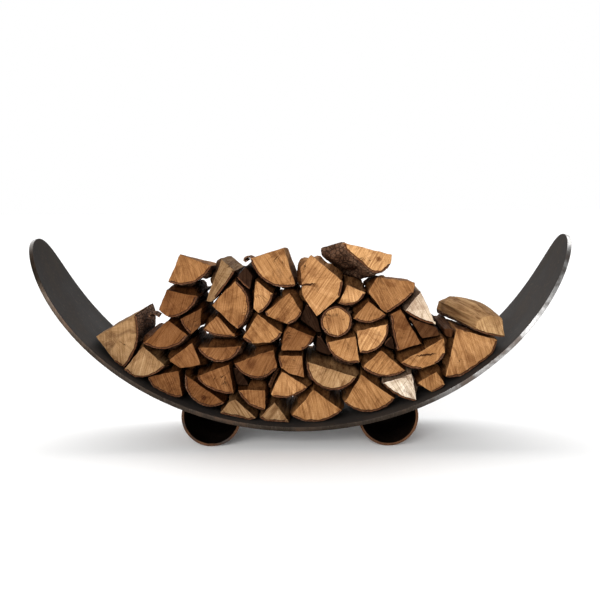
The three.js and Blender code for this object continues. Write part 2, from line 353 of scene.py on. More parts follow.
def place_piece(piece, node, body="root"):
    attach(piece, body)
    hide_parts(node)


def quads_of(shape):
    """Joins the triangle pairs that lie in one plane back into quads."""
    bmesh.ops.join_triangles(shape, faces=shape.faces, angle_face_threshold=math.radians(1.0),
                             angle_shape_threshold=math.radians(180.0), cmp_seam=False,
                             cmp_sharp=False, cmp_uvs=False, cmp_vcols=False, cmp_materials=False)


def sliced(shape, axis, low, high, step):
    """Cuts the mesh across an axis every step, so that its surface can be shaped."""
    count = int((high - low) / step)
    for i in range(1, count):
        place = Vector((0, 0, 0))
        normal = Vector((0, 0, 0))
        place[axis] = low + (high - low) * i / count
        normal[axis] = 1.0
        every = shape.verts[:] + shape.edges[:] + shape.faces[:]
        bmesh.ops.bisect_plane(shape, geom=every, dist=0.00001, plane_co=place, plane_no=normal)


def roughen(shape, size, depth, seed, fine=0.0):
    """Moves each corner along its normal by smooth noise."""
    shape.normal_update()
    moves = []
    for vertex in shape.verts:
        at = vertex.co / size + Vector((seed, seed * 0.7, -seed))
        push = noise.noise(at) * depth
        if fine:
            push += noise.noise(vertex.co / (size * 0.12) + Vector((seed, 0, 0))) * fine
        moves.append((vertex, vertex.normal * push))
    for vertex, move in moves:
        vertex.co += move


def make_plate(face, edge):
    shape, data = copy_node("crescent_plate", "crescent_plate_visual")
    low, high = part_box("crescent_plate")
    quads_of(shape)
    rim = [e for e in shape.edges if e.calc_face_angle(0.0) > math.radians(60)]
    bmesh.ops.bevel(shape, geom=rim, offset=1.4 * MM, segments=3, profile=0.6, affect="EDGES",
                    clamp_overlap=True)
    sliced(shape, 1, low.y, high.y, 0.03)
    sliced(shape, 0, low.x, high.x, 0.02)
    roughen(shape, 0.11, 0.35 * MM, 3.1, 0.12 * MM)
    data.materials.append(face)
    data.materials.append(edge)
    shape.normal_update()
    for polygon in shape.faces:
        sideways = abs(polygon.normal.y)
        at_tip = abs(polygon.calc_center_median().x) > high.x * 0.93
        square_to_roll = at_tip and polygon.normal.z > 0.55
        polygon.material_index = 1 if sideways > 0.5 or square_to_roll else 0
    piece = finish_mesh(shape, data, "crescent_plate_visual", 40)
    place_piece(piece, "crescent_plate")


def make_foot(side, outer, inner, seed):
    node = f"{side}_foot"
    shape, data = copy_node(node, f"{node}_visual")
    low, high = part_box(node)
    quads_of(shape)
    rim = [e for e in shape.edges if e.calc_face_angle(0.0) > math.radians(60)]
    bmesh.ops.bevel(shape, geom=rim, offset=0.9 * MM, segments=2, profile=0.6, affect="EDGES",
                    clamp_overlap=True)
    sliced(shape, 1, low.y, high.y, 0.008)
    roughen(shape, 0.03, 0.55 * MM, seed, 0.25 * MM)
    shape.normal_update()
    data.materials.append(outer)
    data.materials.append(inner)
    axis = Vector(((low.x + high.x) / 2, 0, (high.x - low.x) / 2))
    for polygon in shape.faces:
        centre = polygon.calc_center_median()
        out = Vector((centre.x - axis.x, 0, centre.z - axis.z))
        faces_in = polygon.normal.dot(out) < 0 and abs(polygon.normal.y) < 0.5
        polygon.material_index = 1 if faces_in else 0
    piece = finish_mesh(shape, data, f"{node}_visual", 45)
    place_piece(piece, node)


def section_of(node):
    """A prism's outline in x and z, in order round it, and its two ends along y."""
    data = frame["nodes"][node].data
    low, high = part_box(node)
    points = {(round(v.co.x, 6), round(v.co.z, 6)) for v in data.vertices}
    middle = Vector(np.mean(list(points), axis=0))
    order = sorted(points, key=lambda p: math.atan2(p[1] - middle.y, p[0] - middle.x))
    return [Vector(p) for p in order], low.y, high.y


def make_weld(node, material, seed):
    """A bead laid in short overlapping ripples: its section swells and sinks along the joint."""
    outline, start, end = section_of(node)
    middle = sum(outline, Vector((0, 0))) / len(outline)
    ripple = 3.2 * MM
    steps = int((end - start) / ripple) * 4
    draw = random.Random(seed)
    verts = []
    faces = []
    ring = []
    for i, point in enumerate(outline):
        follower = outline[(i + 1) % len(outline)]
        ring += [point, point.lerp(follower, 0.5)]
    for j in range(steps + 1):
        y = start + (end - start) * j / steps
        wave = (y / ripple + draw.uniform(-0.05, 0.05)) % 1.0
        swell = 0.86 + 0.14 * math.sin(math.pi * wave) ** 0.7
        swell *= 0.95 + 0.05 * noise.noise(Vector((seed, y / 0.02, 0)))
        if j in (0, steps):
            swell *= 0.55
        for point in ring:
            spot = middle + (point - middle) * swell
            verts.append((spot.x, y, spot.y))
    count = len(ring)
    for j in range(steps):
        for k in range(count):
            a = j * count + k
            b = j * count + (k + 1) % count
            faces.append((a, b, b + count, a + count))
    faces.append(tuple(reversed(range(count))))
    faces.append(tuple(range(steps * count, (steps + 1) * count)))
    data = bpy.data.meshes.new(f"{node}_visual")
    data.from_pydata(verts, [], faces)
    shape = bmesh.new()
    shape.from_mesh(data)
    bmesh.ops.recalc_face_normals(shape, faces=shape.faces)
    data.materials.append(material)
    piece = finish_mesh(shape, data, f"{node}_visual", 60)
    place_piece(piece, node)


# ---------------------------------------------------------------- wood


# Tints that the wood's own colour is multiplied by.
WARM_DARK = (0.36, 0.24, 0.17)
LIGHTER = (1.65, 1.85, 2.2)
SHADE = (0.20, 0.13, 0.09)
GREY_STAIN = (0.34, 0.27, 0.25)
SAWN_RIM = (0.22, 0.12, 0.08)
KNOT_DARK = (0.26, 0.16, 0.11)
CRACK_DARK = (0.10, 0.06, 0.045)


def grain_inputs(nodes):
    """The place about the log's pith, and the log's lightness (its own tone with painted shade in it),
    paleness, seed and greyness.
    """
    grain = nodes.attribute("grain").outputs["Vector"]
    tone = nodes.split(nodes.attribute("tone").outputs["Vector"])
    grey = nodes.attribute("grey").outputs["Fac"]
    return grain, tone[0], tone[1], tone[2], grey


def wood_colour(nodes, light, pale, grey):
    """A log's colour, from brown through ochre to light orange, or cream on the pale logs. Its darkest end,
    near black, is painted shade for the logs deep in the gaps.
    """
    colour = nodes.ramp(light, [(0.0, (0.030, 0.013, 0.006)), (0.15, (0.155, 0.061, 0.019)),
                                (0.35, (0.245, 0.109, 0.039)), (0.55, (0.355, 0.172, 0.062)),
                                (0.77, (0.460, 0.237, 0.094)), (1.0, (0.650, 0.360, 0.148))])
    colour = nodes.mix(nodes.math("MULTIPLY", grey, 0.6), colour, (0.30, 0.195, 0.095))
    return nodes.mix(pale, colour, (0.70, 0.585, 0.44))


def darkened(nodes, colour, share, depth, tint=WARM_DARK):
    """Multiplies the colour by a dark tint, where share says and by as much as depth."""
    return nodes.mix(nodes.math("MULTIPLY", share, depth, clamp=True), colour, tint, "MULTIPLY")


def lightened(nodes, colour, share, depth):
    """Multiplies the colour by a light tint, where share says and by as much as depth."""
    return nodes.mix(nodes.math("MULTIPLY", share, depth, clamp=True), colour, LIGHTER, "MULTIPLY")


def shaded(nodes, colour):
    """Sides that lie close against other logs are painted darker, as little light gets between them."""
    hidden = nodes.math("SUBTRACT", 1.0, nodes.attribute("open").outputs["Fac"], clamp=True)
    return nodes.mix(nodes.math("MULTIPLY", hidden, 0.85), colour, SHADE, "MULTIPLY")


def distance(nodes, dx, dz):
    square = nodes.math("ADD", nodes.math("MULTIPLY", dx, dx), nodes.math("MULTIPLY", dz, dz))
    return nodes.math("SQRT", square)


def turned(nodes, x, z, way):
    """How far a point lies along the direction at the given angle."""
    return nodes.math("ADD", nodes.math("MULTIPLY", x, nodes.math("COSINE", way)),
                      nodes.math("MULTIPLY", z, nodes.math("SINE", way)))


def crack_share(nodes, x, z):
    """A wide jagged crack on the few logs that have one: 1 inside it."""
    place = nodes.split(nodes.attribute("crack").outputs["Vector"])
    dx = nodes.math("SUBTRACT", x, place[0])
    dz = nodes.math("SUBTRACT", z, place[2])
    jag = nodes.noise(nodes.join(nodes.math("MULTIPLY", dx, 130.0), 0.0, 0.0), 1.0, 3.0, 0.7)
    off = nodes.math("ADD", turned(nodes, dx, dz, nodes.math("ADD", place[1], math.pi / 2)),
                     nodes.math("MULTIPLY", nodes.math("SUBTRACT", jag, 0.5), 0.016))
    along = nodes.math("ABSOLUTE", turned(nodes, dx, dz, place[1]))
    width = nodes.between(along, 0.010, CRACK_HALF, 0.0032, 0.0)
    return nodes.between(nodes.math("ABSOLUTE", off), nodes.math("MULTIPLY", width, 0.6), width, 1.0, 0.0)


def ray_streaks(nodes, angle, radius, wobble, seed):
    """Streaks that spread from the pith."""
    bent = nodes.math("ADD", angle, nodes.math("MULTIPLY", wobble, 0.35))
    place = nodes.join(nodes.math("MULTIPLY", bent, 11.0), nodes.math("MULTIPLY", radius, 7.0), seed)
    return nodes.noise(place, 1.0, 5.0, 0.72)


def saw_lines(nodes, x, z, seed):
    """Fine scores of the saw, mostly upright, at an angle of the log's own."""
    way = nodes.math("MULTIPLY", nodes.math("SINE", nodes.math("MULTIPLY", seed, 7.0)), 0.65)
    across = turned(nodes, x, z, way)
    down = turned(nodes, x, z, nodes.math("ADD", way, math.pi / 2))
    place = nodes.join(nodes.math("MULTIPLY", across, 210.0), seed, nodes.math("MULTIPLY", down, 7.0))
    return nodes.noise(place, 1.0, 4.0, 0.72)


def ring_share(nodes, radius, wobble):
    """Growth rings about the pith: 1 on their dark lines."""
    phase = nodes.math("ADD", nodes.math("MULTIPLY", radius, 1300.0), nodes.math("MULTIPLY", wobble, 16.0))
    return nodes.math("POWER", nodes.math("MULTIPLY_ADD", nodes.math("SINE", phase), 0.5, 0.5), 3.0)


def knot_share(nodes, x, z, wobble):
    """The knot on the few logs that have one, with rings of its own."""
    spot = nodes.split(nodes.attribute("knot").outputs["Vector"])
    away = distance(nodes, nodes.math("SUBTRACT", x, spot[0]), nodes.math("SUBTRACT", z, spot[2]))
    uneven = nodes.math("MULTIPLY", nodes.math("SUBTRACT", wobble, 0.5), 0.012)
    away = nodes.math("ADD", away, uneven)
    knot = nodes.between(away, nodes.math("MULTIPLY", spot[1], 0.45), spot[1], 1.0, 0.0)
    wave = nodes.math("SINE", nodes.math("MULTIPLY", away, 1800.0))
    return nodes.math("MULTIPLY", knot, nodes.math("MULTIPLY_ADD", wave, 0.25, 0.75))


def check_share(nodes, x, z, seed):
    """Thin drying checks, in some places only, and the wide crack of a few logs: 1 inside them."""
    radius = distance(nodes, x, z)
    place = nodes.join(nodes.math("MULTIPLY", nodes.math("ARCTAN2", z, x), 2.6),
                       nodes.math("MULTIPLY", radius, 9.0), nodes.math("MULTIPLY", seed, 3.1))
    off_line = nodes.math("ABSOLUTE", nodes.math("SUBTRACT", nodes.noise(place, 1.0, 3.0, 0.55), 0.5))
    narrow = nodes.math("DIVIDE", 0.00075, nodes.math("MAXIMUM", radius, 0.012))
    check = nodes.between(off_line, 0.0, narrow, 1.0, 0.0)
    reach = nodes.between(nodes.noise(nodes.join(x, seed, z), 21.0, 2.0, 0.5), 0.60, 0.67)
    return nodes.math("MAXIMUM", nodes.math("MULTIPLY", check, reach), crack_share(nodes, x, z))


def sawn_material():
    """A sawn end: rays and rings about the pith, saw lines, checks, stains, a knot and a pale edge band,
    partly wear and partly painted highlight.
    """
    nodes = Nodes("sawn_end")
    grain, light, pale, seed, grey = grain_inputs(nodes)
    x, _, z = nodes.split(grain)[:3]
    flat = nodes.join(x, seed, z)
    radius = distance(nodes, x, z)
    wobble = nodes.noise(flat, 28.0, 3.0, 0.5)
    blotch = nodes.noise(flat, 24.0, 4.0, 0.62, 0.6)
    rays = ray_streaks(nodes, nodes.math("ARCTAN2", z, x), radius, wobble, seed)
    saw = saw_lines(nodes, x, z, seed)
    check = check_share(nodes, x, z, seed)

    colour = wood_colour(nodes, light, pale, grey)
    colour = darkened(nodes, colour, nodes.between(blotch, 0.46, 0.70), 0.62)
    colour = lightened(nodes, colour, nodes.between(blotch, 0.46, 0.30), 0.22)
    colour = darkened(nodes, colour, nodes.between(rays, 0.48, 0.66), 0.34)
    colour = lightened(nodes, colour, nodes.between(rays, 0.48, 0.34), 0.24)
    colour = darkened(nodes, colour, nodes.between(saw, 0.47, 0.66), 0.62)
    colour = lightened(nodes, colour, nodes.between(saw, 0.47, 0.36), 0.3)
    colour = darkened(nodes, colour, ring_share(nodes, radius, wobble), 0.17)
    stain = nodes.between(nodes.noise(flat, 13.0, 5.0, 0.65, 1.2), 0.57, 0.70)
    colour = darkened(nodes, colour, stain, 0.62, GREY_STAIN)
    colour = darkened(nodes, colour, nodes.between(radius, 0.004, 0.035, 1.0, 0.0), 0.35)

    rim = nodes.attribute("rim").outputs["Fac"]
    patchy = nodes.between(blotch, 0.38, 0.62, 0.1, 1.0)
    # Partly wear and partly painted highlight: a pale band along the split sides' edges, in patches.
    pale_edge_wear_and_highlight = nodes.math("MULTIPLY", nodes.between(rim, -0.15, -0.9), patchy)
    colour = lightened(nodes, colour, pale_edge_wear_and_highlight, 0.45)
    colour = darkened(nodes, colour, nodes.between(rim, 0.80, 1.0), 0.9, SAWN_RIM)
    colour = darkened(nodes, colour, knot_share(nodes, x, z, wobble), 0.95, KNOT_DARK)
    colour = darkened(nodes, colour, check, 0.95, CRACK_DARK)

    height = nodes.math("ADD", nodes.math("MULTIPLY", rays, 0.8), nodes.math("MULTIPLY", saw, 0.8))
    height = nodes.math("SUBTRACT", height, nodes.math("MULTIPLY", check, 2.0))
    return nodes.set(Base_Color=colour, Roughness=nodes.between(saw, 0.3, 0.7, 0.66, 0.88),
                     Specular_IOR_Level=0.05, Normal=nodes.bump(height, 0.7, 0.0022))


def split_material():
    """A split side: torn fibres along the log in brown streaks, browner than the fresh ends."""
    nodes = Nodes("split_side")
    grain, light, pale, seed, grey = grain_inputs(nodes)
    moved = nodes.shift(grain, nodes.join(seed, 0.0, seed))
    fibres = nodes.noise(nodes.stretch(moved, (240.0, 8.0, 240.0)), 1.0, 5.0, 0.7)
    coarse = nodes.noise(nodes.stretch(moved, (60.0, 3.0, 60.0)), 1.0, 4.0, 0.65, 0.3)
    patch = nodes.noise(moved, 12.0, 4.0, 0.6)
    colour = darkened(nodes, wood_colour(nodes, light, pale, grey), 1.0, 0.35, (0.55, 0.50, 0.48))
    colour = darkened(nodes, colour, nodes.between(coarse, 0.44, 0.66), 0.7)
    colour = lightened(nodes, colour, nodes.between(coarse, 0.44, 0.28), 0.4)
    colour = darkened(nodes, colour, nodes.between(fibres, 0.46, 0.68), 0.7)
    colour = darkened(nodes, colour, nodes.between(patch, 0.5, 0.72), 0.6, (0.42, 0.36, 0.33))
    colour = shaded(nodes, colour)
    height = nodes.math("ADD", nodes.math("MULTIPLY", coarse, 1.4), fibres)
    return nodes.set(Base_Color=colour, Roughness=nodes.between(fibres, 0.3, 0.7, 0.7, 0.92),
                     Specular_IOR_Level=0.03, Normal=nodes.bump(height, 0.9, 0.003))


def bark_material():
    """Thin bark: red-brown to dark grey plates with furrows along the log, redder where it is sawn."""
    nodes = Nodes("bark")
    grain, _, _, seed, _ = grain_inputs(nodes)
    moved = nodes.shift(grain, nodes.join(seed, seed, 0.0))
    furrows = nodes.cells(nodes.stretch(moved, (95.0, 24.0, 95.0)), 1.0, "DISTANCE_TO_EDGE")
    flakes = nodes.noise(nodes.stretch(moved, (120.0, 45.0, 120.0)), 1.0, 5.0, 0.7)
    patches = nodes.noise(moved, 16.0, 4.0, 0.6)
    colour = nodes.ramp(patches, [(0.3, (0.060, 0.034, 0.022)), (0.46, (0.15, 0.078, 0.046)),
                                  (0.60, (0.26, 0.150, 0.092)), (0.76, (0.33, 0.25, 0.19))])
    crack = nodes.between(furrows, 0.0, 0.16, 1.0, 0.0)
    colour = nodes.mix(nodes.math("MULTIPLY", crack, 0.8), colour, (0.018, 0.010, 0.007))
    colour = nodes.mix(nodes.between(flakes, 0.58, 0.76, 0.0, 0.55), colour, (0.25, 0.155, 0.105))
    rim = nodes.attribute("rim").outputs["Fac"]
    sawn = nodes.between(rim, 2.25, 2.0)
    colour = nodes.mix(nodes.math("MULTIPLY", sawn, nodes.between(flakes, 0.3, 0.6, 0.5, 1.0)), colour,
                       (0.115, 0.044, 0.019))
    inner = nodes.between(rim, 1.5, 1.2)
    colour = nodes.mix(inner, colour, (0.028, 0.013, 0.008))
    colour = nodes.mix(nodes.between(rim, 2.25, 2.75), colour, shaded(nodes, colour))
    height = nodes.math("SUBTRACT", nodes.math("MULTIPLY", flakes, 0.9), nodes.math("MULTIPLY", crack, 0.7))
    return nodes.set(Base_Color=colour, Roughness=nodes.between(flakes, 0.3, 0.7, 0.78, 0.97),
                     Specular_IOR_Level=0.03, Normal=nodes.bump(height, 0.9, 0.0025))


# How light each log's wood is, from 0 for weathered brown to 1 for fresh orange tan, with painted shade in
# it: logs lying in shade get lower values, and the lowest, near black, are painted shade on the logs deep in
# the gaps.
WOOD_TONE_WITH_SHADE = {
    0.0: (40, 45, 46, 48, 49),
    0.06: (39, 47, 50),
    0.11: (32,),
    0.14: (42,),
    0.17: (4, 16, 31),
    0.26: (3, 12, 15, 17, 20, 23, 29),
    0.38: (5, 6, 13, 18, 22),
    0.44: (1, 2, 33, 34, 37, 41, 44),
    0.58: (7, 8, 10, 21, 24, 25, 26, 43),
    0.70: (11, 14, 19, 28, 35, 38),
    0.84: (27, 36),
    0.90: (51,),
    1.0: (52,),
}
GREYER = (1, 2, 5, 6, 19, 42, 52)
PALENESS = {9: 1.0, 30: 0.8}
# A knot's or crack's place from the middle of its log's end, and the knot's radius or the crack's angle.
KNOTS = {4: (7 * MM, -11 * MM, 10 * MM), 34: (-20 * MM, -26 * MM, 9 * MM), 51: (26 * MM, -4 * MM, 8 * MM)}
CRACKS = {26: (-2 * MM, 4 * MM, 0.12), 38: (-38 * MM, 2 * MM, 0.1)}
CRACK_HALF = 34 * MM

# Loose curls of bark at a log's corner: the corner from the middle of the log's end, and the curl's size.
CURLS = {43: (-60 * MM, 30 * MM, 1.0), 31: (-58 * MM, -30 * MM, 0.8)}
CURL_PATH = ((11, -10), (-3, 0), (-12, 4), (-19, 3), (-24, -1), (-25, -7), (-20, -10), (-16, -7))
CURL_HALF_THICK = 2.2 * MM
CURL_ENDS = (5 * MM, 62 * MM)
CURL_ROWS = 8

FAR_OFF = 9.0  # where the logs without a knot or a crack have theirs
TAPER = {41: 0.34, 43: 0.16, 44: 0.2, 42: 0.1, 38: 0.12, 3: 0.15, 11: 0.1}
HUMP = {52: 16 * MM}  # how far the upper side rises in the middle
BARK_BELOW = (51, 52)  # logs whose lower sides are flat and still carry their bark

SAME_POINT = 0.2 * MM
SKIN_STEP = 4.5 * MM  # round a log
LENGTH_STEP = 9 * MM  # along a log
BARK_THICK = 4.6 * MM
PALE_EDGE = 1.9 * MM  # the pale band along a split side's edge, on the sawn end: partly wear and partly painted highlight
WEAR = 0.8 * MM  # of the edge between a log's sides and its sawn ends
WIDEST_GAP = 40 * MM  # between logs, that they swell to close
MOST_SWELL = 15 * MM
CLOSE_GAP = 9 * MM  # between logs: sides nearer than this are in full shade
OPEN_GAP = 60 * MM  # and sides with this much room are in the light
FIXED_CLEAR = 0.2 * MM  # left between two swollen sides that never move apart
LIFT_CLEAR = 1.0 * MM  # left beside a log that lifts off
SWELL_SHARES = (0.2, 0.5, 0.85)  # places along a log where the gaps beside it are measured
SAWN, SPLIT, BARK = 0, 1, 2  # a log's material slots


def area_centre(ring):
    area = 0.0
    centre = Vector((0, 0))
    for here, there in zip(ring, ring[1:] + ring[:1]):
        share = here.x * there.y - there.x * here.y
        area += share / 2
        centre += (here + there) * share / 6
    return centre / area


class LogPlace:
    """Where a log lies: its front centre, its axis, and the two directions across it."""

    def __init__(self, node):
        data = frame["nodes"][node].data
        self.along = Vector((0, 0, 0))
        for polygon in data.polygons:
            if polygon.normal.y > 0.9:
                self.along += polygon.normal * polygon.area
        self.along.normalize()
        self.aside = self.along.cross(Vector((0, 0, 1))).normalized()
        self.up = self.aside.cross(self.along)
        reach = [vertex.co.dot(self.along) for vertex in data.vertices]
        self.length = max(reach) - min(reach)
        points = {}
        for vertex in data.vertices:
            point = Vector((vertex.co.dot(self.aside), vertex.co.dot(self.up)))
            points[(round(point.x / SAME_POINT), round(point.y / SAME_POINT))] = point
        inside = sum(points.values(), Vector((0, 0))) / len(points)
        ring = sorted(points.values(), key=lambda p: math.atan2(p.y - inside.y, p.x - inside.x))
        middle = area_centre(ring)
        self.outline = [point - middle for point in ring]
        self.start = self.along * min(reach) + self.aside * middle.x + self.up * middle.y

    def at(self, point, y):
        return self.start + self.along * y + self.aside * point.x + self.up * point.y

    def section(self, point, share):
        """A point of the section partway along the log, as world x and z."""
        spot = self.at(point, self.length * share)
        return Vector((spot.x, spot.z))


ROUND_STEP = 17 * MM  # the longest edge that can be a step of a round side
SOFT_TURN = 0.5  # radians between two steps of a round side, at most
SHARP_TURN = 0.6  # radians at a corner that wears, at least
NO_ANGLE = 9.0  # stands for the angle of an edge without length, which is never soft
FACES_DOWN = 0.35  # how much of an edge's length runs sideways where it faces down, at least
PITH_WITHOUT_BARK = (20 * MM, -55 * MM)
PITH_REACH = 0.97
WHOLE_ROUND = 8 * MM  # bark all around has its middle this near the log's own


def bark_edges(outline, bark_below):
    """Marks the edges that are bark: steps of a round side, and all that face down if bark_below is set."""
    count = len(outline)
    edges = [outline[(i + 1) % count] - outline[i] for i in range(count)]
    short = [edge.length < ROUND_STEP for edge in edges]

    def turns_softly(i, j):
        return abs(edges[i].angle_signed(edges[j], NO_ANGLE)) < SOFT_TURN

    marks = []
    for i in range(count):
        before, after = (i - 1) % count, (i + 1) % count
        soft_before = short[before] and turns_softly(before, i)
        soft_after = short[after] and turns_softly(i, after)
        faces_down = edges[i].x > FACES_DOWN * edges[i].length
        marks.append(short[i] and (soft_before or soft_after) or bark_below and faces_down)
    return marks


def skin_points(outline, bark_below):
    """The outline with points every few millimetres: place, outward normal, bark or not, corner or not."""
    marks = bark_edges(outline, bark_below)
    count = len(outline)
    points = []
    for i in range(count):
        here, there = outline[i], outline[(i + 1) % count]
        edge = there - here
        steps = max(1, round(edge.length / SKIN_STEP))
        last = outline[i] - outline[i - 1]
        turn = abs(last.angle_signed(edge, 0.0))
        for step in range(steps):
            out = Vector((edge.y, -edge.x)).normalized()
            if step == 0:
                out = (out + Vector((last.y, -last.x)).normalized()).normalized()
            corner = step == 0 and turn > SHARP_TURN
            points.append({"at": here.lerp(there, step / steps), "out": out, "bark": marks[i],
                           "corner": corner})
    total = len(points)
    for i, point in enumerate(points):
        near = [points[(i + k) % total]["corner"] for k in (-1, 0, 1)]
        point["edge"] = 1.0 if near[1] else 0.5 if near[0] or near[2] else 0.0
    return points


def find_pith(points):
    """The tree's centre on this log's end: across from the middle of the bark, nearly at the far side."""
    bark = [p["at"] for p in points if p["bark"]]
    if len(bark) < 4:
        return Vector(PITH_WITHOUT_BARK)
    centre = sum(bark, Vector((0, 0))) / len(bark)
    inward = -centre.normalized() if centre.length > 1e-4 else Vector((0, 0))
    if centre.length < WHOLE_ROUND:
        return Vector((0, 0))
    deepest = max((p["at"] - centre).dot(inward) for p in points)
    return centre + inward * deepest * PITH_REACH


def obstacles(places, liftable, node, share):
    """The sides of all other logs at one place along, and the upright paths of those that lift off."""
    starts, ends, paths = [], [], []
    for other, place in places.items():
        if other == node:
            continue
        section = [place.section(point, share) for point in place.outline]
        for here, there in zip(section, section[1:] + section[:1]):
            starts.append(here)
            ends.append(there)
            paths.append(False)
        if other in liftable:
            for corner in (min(section, key=lambda p: p.x), max(section, key=lambda p: p.x)):
                starts.append(corner)
                ends.append(corner + Vector((0, 1)))
                paths.append(True)
    return np.array(starts), np.array(ends), np.array(paths)


def ray_gap(at, way, edges):
    """The distance from a point to the nearest other log, looking one way, and whether it is a lift path."""
    a, b, paths = edges
    edge = b - a
    cross = way[0] * edge[:, 1] - way[1] * edge[:, 0]
    cross = np.where(np.abs(cross) < 1e-12, 1e-12, cross)
    apart = a - at
    t = (apart[:, 0] * edge[:, 1] - apart[:, 1] * edge[:, 0]) / cross
    u = (apart[:, 0] * way[1] - apart[:, 1] * way[0]) / cross
    hit = (t > -1 * MM) & (u >= 0) & (u <= 1)
    if not hit.any():
        return 1.0, False
    nearest = np.argmin(np.where(hit, t, 1.0))
    return max(0.0, t[nearest]), paths[nearest]


def room_beside(place, point, share, edges, clear):
    """How wide the gap beside a point of the side is at one place along, and how far the side may swell."""
    at = np.array(place.section(point["at"], share))
    way = np.array((place.aside.x * point["out"].x, point["out"].y))
    gap, path = ray_gap(at, way, edges)
    if gap > WIDEST_GAP:
        return gap, 0.0
    room = gap - LIFT_CLEAR if path else gap / 2 - clear
    return gap, max(0.0, min(room, MOST_SWELL))


def add_room(node, points, places, liftable):
    """Split logs aren't true prisms: behind its sawn end each log swells into the gaps beside it.

    A log that lifts off swells only on its underside, and stays as wide as it is.
    """
    place = places[node]
    lifts = node in liftable
    bare = int(node[-2:]) in BARK_BELOW  # turned so that its underside is seen from the front
    clear = LIFT_CLEAR if lifts else FIXED_CLEAR
    fields = [obstacles(places, liftable, node, share) for share in SWELL_SHARES]
    left = min(p.x for p in place.outline)
    right = max(p.x for p in place.outline)
    every = []
    for point in points:
        found = [room_beside(place, point, share, field, clear) for share, field in zip(SWELL_SHARES, fields)]
        point["open"] = 1.0 if bare else smooth(found[1][0], CLOSE_GAP, OPEN_GAP)
        rooms = np.array([room for _, room in found])
        if lifts:
            rooms = rooms if point["out"].y < -0.2 else rooms * 0
            edge = right if point["out"].x > 0 else left
            if abs(point["out"].x) > 0.01:
                rooms = np.minimum(rooms, max(0.0, (edge - point["at"].x) / point["out"].x))
        every.append(rooms)
    count = len(points)
    for i, point in enumerate(points):
        near = [every[(i + k) % count] for k in range(-2, 3)]
        point["rooms"] = np.minimum(every[i], sum(near) / len(near))


def skin_push(point, y, length, seed):
    """How far the surface stands out from the plain prism at a point of the log's side."""
    at = point["at"]
    low = noise.noise(Vector((at.x / 0.045 + seed, y / 0.16, at.y / 0.045)))
    if point["bark"]:
        lumps = noise.noise(Vector((at.x / 0.013, y / 0.035 + seed, at.y / 0.013)))
        furrow = 1 - abs(noise.noise(Vector((at.x / 0.008, y / 0.06, at.y / 0.008 + seed))))
        push = -0.7 + low * 0.9 + lumps * 0.9 - max(0.0, furrow - 0.75) * 4.0
    else:
        fibre = noise.noise(Vector((at.x / 0.006, y / 0.09 + seed, at.y / 0.006)))
        torn = noise.noise(Vector((at.x / 0.018, y / 0.11 - seed, at.y / 0.018)))
        push = -1.1 + low * 1.6 + torn * 1.5 + fibre * 0.5
    chip = abs(noise.noise(Vector((seed, y / 0.03, at.x / 0.02))))
    push -= point["edge"] * (0.5 + 1.6 * chip)
    swell = np.interp(y / length, SWELL_SHARES, point["rooms"]) * smooth(y, 8 * MM, 60 * MM)
    push += 0.9 * min(1.0, swell / (2 * MM))
    return min(push, 0.7) * MM + swell


def smooth(value, low, high):
    share = min(1.0, max(0.0, (value - low) / (high - low)))
    return share * share * (3 - 2 * share)


class LogMesh:
    """Collects a log's corners, faces and the values that its materials read."""

    def __init__(self, place, pith):
        self.place = place
        self.pith = pith
        self.verts, self.grain, self.rim, self.open, self.faces, self.kinds = [], [], [], [], [], []

    def add(self, at, y, rim, light=1.0):
        self.verts.append(self.place.at(at, y))
        self.grain.append((at.x - self.pith.x, y, at.y - self.pith.y))
        self.rim.append(rim)
        self.open.append(light)
        return len(self.verts) - 1

    def bridge(self, a, b, kinds):
        for k in range(len(a)):
            n = (k + 1) % len(a)
            self.faces.append((a[k], a[n], b[n], b[k]))
            self.kinds.append(kinds[k])

    def curl(self, corner, size, seed):
        """A thin strip of bark that bends away from the log and rolls up at its edge."""
        path = [corner + Vector(step) * size * MM for step in CURL_PATH]
        count = len(path)
        rows = []
        for j in range(CURL_ROWS + 1):
            share = j / CURL_ROWS
            y = CURL_ENDS[0] + (CURL_ENDS[1] - CURL_ENDS[0]) * share
            upper, lower = [], []
            for i, at in enumerate(path):
                way = (path[min(i + 1, count - 1)] - path[max(i - 1, 0)]).normalized()
                out = Vector((way.y, -way.x)) * CURL_HALF_THICK
                ragged = noise.noise(Vector((seed, i * 0.8, share * 4.0))) * 2.5 * MM
                at = at.lerp(corner, 0.3 * share) + Vector((ragged * 0.3, ragged * 0.4))
                upper.append(self.add(at + out, y + ragged, 3.0))
                lower.append(self.add(at - out, y + ragged, 3.0))
            rows.append(upper + lower[::-1])
        for a, b in zip(rows, rows[1:]):
            self.bridge(a, b, [BARK] * len(a))
        for ring, order in ((rows[0], -1), (rows[-1], 1)):
            for i in range(count - 1):
                quad = (ring[i], ring[i + 1], ring[-2 - i], ring[-1 - i])
                self.faces.append(quad[::order])
                self.kinds.append(BARK)

    def fan(self, ring, centre, flipped):
        for k in range(len(ring)):
            n = (k + 1) % len(ring)
            self.faces.append((ring[k], ring[n], centre) if flipped else (ring[n], ring[k], centre))
            self.kinds.append(SAWN)


END_INSET = 2.4 * MM  # keeps leaning ends within half a millimetre of the plain prism
MOST_LEAN = 2.5 * MM
SAW_ROUGH = 0.35 * MM
FACE_RINGS = (0.84, 0.6, 0.3)  # rings of a sawn face, as shares of its size


